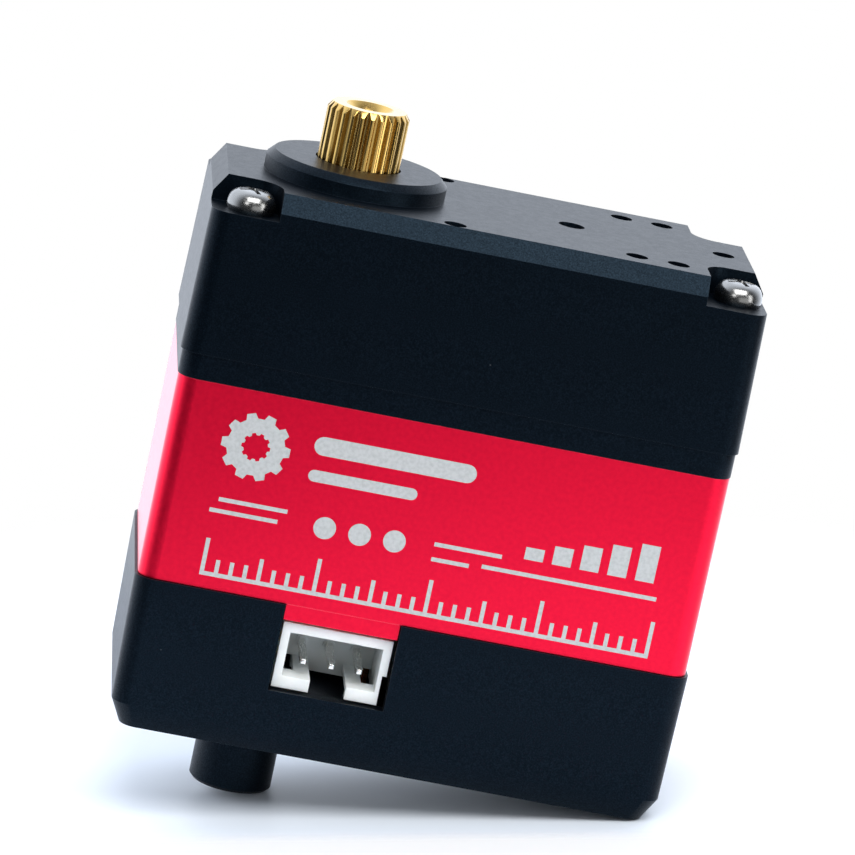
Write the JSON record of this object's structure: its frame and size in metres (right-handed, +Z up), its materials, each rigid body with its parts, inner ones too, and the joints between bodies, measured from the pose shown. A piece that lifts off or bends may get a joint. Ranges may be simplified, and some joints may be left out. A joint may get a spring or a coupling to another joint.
{
  "type": "servo actuator",
  "caption": "Digital servo in a black and red layered case: splined output shaft on top, idler boss below, coupled gear train, motor and wire sockets inside.",
  "frame": {"origin": "on the output axis, level with the underside of the case", "axes": "+Z up the output shaft, +X along the case towards its far end, -Y out of the face with the front wire socket"},
  "size_m": [0.04, 0.02, 0.0506],
  "materials": {
    "black_plastic": "fine moulded texture, satin",
    "red_aluminium": "red anodised, fine bead-blasted grain",
    "screw_steel": "nickel plated",
    "brass": "machined",
    "gear_steel": "machined",
    "bearing_steel": "polished",
    "nylon_white": "moulded nylon",
    "stem_plastic": "moulded plastic",
    "magnet": "nickel plated magnet",
    "motor_steel": "zinc plated",
    "motor_magnet": "sintered magnet",
    "copper": "copper",
    "circuit_board": "green solder mask",
    "chip_black": "moulded package",
    "capacitor": "ceramic",
    "pin_tin": "tin plated"
  },
  "bodies": {
    "housing": {"top_case": "black_plastic", "gear_plate": "black_plastic", "aluminium_shell": "red_aluminium", "bottom_case": "black_plastic", "case_screws": "screw_steel", "upper_bearing_outer": "bearing_steel", "lower_bearing_outer": "bearing_steel", "gear_pins": "gear_steel", "motor_can": "motor_steel", "motor_end_cap": "black_plastic", "motor_magnet": "motor_magnet", "motor_bushes": "brass", "motor_screws": "screw_steel", "motor_terminals": "copper", "circuit_board": "circuit_board", "controller_chip": "chip_black", "driver_chips": "chip_black", "encoder_chip": "chip_black", "capacitors": "capacitor", "front_socket": "nylon_white", "front_pins": "pin_tin", "rear_socket": "nylon_white", "rear_pins": "pin_tin"},
    "output": {"output_shaft": "brass", "output_gear": "brass", "encoder_stem": "stem_plastic", "encoder_magnet": "magnet", "upper_bearing_inner": "bearing_steel", "lower_bearing_inner": "bearing_steel"},
    "third_compound": {"third_wheel": "brass", "third_pinion": "gear_steel"},
    "second_compound": {"second_wheel": "brass", "second_pinion": "gear_steel"},
    "first_compound": {"first_wheel": "brass", "first_pinion": "gear_steel"},
    "rotor": {"motor_shaft": "gear_steel", "motor_winding": "copper", "motor_commutator": "copper", "motor_pinion": "brass"},
    "upper_balls": {"upper_ball_set": "bearing_steel"},
    "lower_balls": {"lower_ball_set": "bearing_steel"}
  },
  "joints": [
    {"name": "output_spin", "type": "hinge", "parent": "housing", "child": "output", "pos_m": [0, 0, 0.0381], "axis": [0, 0, 1], "continuous": true},
    {"name": "third_gear_spin", "type": "hinge", "parent": "housing", "child": "third_compound", "pos_m": [0.00956, 0.0019, 0.032], "axis": [0, 0, 1], "continuous": true},
    {"name": "second_gear_spin", "type": "hinge", "parent": "housing", "child": "second_compound", "pos_m": [0.01598, -0.00235, 0.031], "axis": [0, 0, 1], "continuous": true},
    {"name": "first_gear_spin", "type": "hinge", "parent": "housing", "child": "first_compound", "pos_m": [0.00956, 0.0019, 0.029], "axis": [0, 0, 1], "continuous": true},
    {"name": "motor_spin", "type": "hinge", "parent": "housing", "child": "rotor", "pos_m": [0.01682, 0, 0.015], "axis": [0, 0, 1], "continuous": true},
    {"name": "upper_balls_roll", "type": "hinge", "parent": "housing", "child": "upper_balls", "pos_m": [0, 0, 0.0381], "axis": [0, 0, 1], "continuous": true},
    {"name": "lower_balls_roll", "type": "hinge", "parent": "housing", "child": "lower_balls", "pos_m": [0, 0, 0.0264], "axis": [0, 0, 1], "continuous": true}
  ],
  "couplings": [
    {"joint": "third_gear_spin", "follows": "output_spin", "ratio": -2.9},
    {"joint": "second_gear_spin", "follows": "output_spin", "ratio": 9.86},
    {"joint": "first_gear_spin", "follows": "output_spin", "ratio": -33.524},
    {"joint": "motor_spin", "follows": "output_spin", "ratio": 167.62},
    {"joint": "upper_balls_roll", "follows": "output_spin", "ratio": 0.4275},
    {"joint": "lower_balls_roll", "follows": "output_spin", "ratio": 0.4033}
  ]
}
